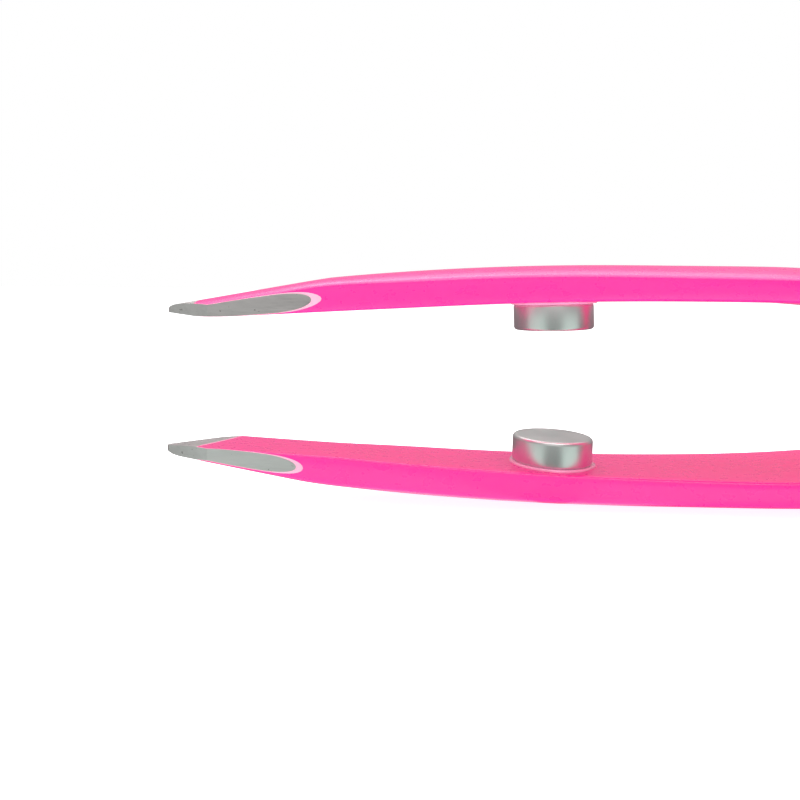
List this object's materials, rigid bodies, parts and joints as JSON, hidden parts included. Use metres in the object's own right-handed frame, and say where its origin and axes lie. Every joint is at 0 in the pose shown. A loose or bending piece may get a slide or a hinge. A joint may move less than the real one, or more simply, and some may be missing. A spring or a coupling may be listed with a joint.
{
  "type": "pointed tweezers",
  "caption": "Pointed tweezers: bowed painted leaves with ground bare tips, welded at the heel, and facing disc magnets on their inner faces.",
  "frame": {"origin": "centre of the tweezers' box in X and Y, at the lowest point of the lower arm's crown", "axes": "+X from the tips to the heel, +Z from the lower arm to the upper arm, +Y across the leaves' width"},
  "size_m": [0.097, 0.0104, 0.018],
  "materials": {
    "pink_enamel": "satin-gloss pink enamel on steel",
    "ground_steel": "ground bare steel at the tips",
    "weld_steel": "spot weld metal",
    "nickel_plate": "bright nickel plate",
    "clear_glue": "cured clear glue over pink enamel"
  },
  "bodies": {
    "heel": {"upper_heel_leaf": "pink_enamel", "lower_heel_leaf": "pink_enamel", "weld_nuggets": "weld_steel"},
    "upper_arm": {"upper_arm": "pink_enamel", "upper_magnet": "nickel_plate", "upper_magnet_glue": "clear_glue"},
    "lower_arm": {"lower_arm": "pink_enamel", "lower_magnet": "nickel_plate", "lower_magnet_glue": "clear_glue"}
  },
  "joints": [
    {"name": "upper_arm_flex", "type": "hinge", "parent": "heel", "child": "upper_arm", "pos_m": [0.0279, 0, 0.01095], "axis": [0, -1, 0], "range_deg": [0, 3.55], "stiffness_Nm_per_rad": 2},
    {"name": "lower_arm_flex", "type": "hinge", "parent": "heel", "child": "lower_arm", "pos_m": [0.0279, 0, 0.00705], "axis": [0, 1, 0], "range_deg": [0, 3.55], "stiffness_Nm_per_rad": 2}
  ],
  "couplings": [
    {"joint": "lower_arm_flex", "follows": "upper_arm_flex", "ratio": 1}
  ]
}
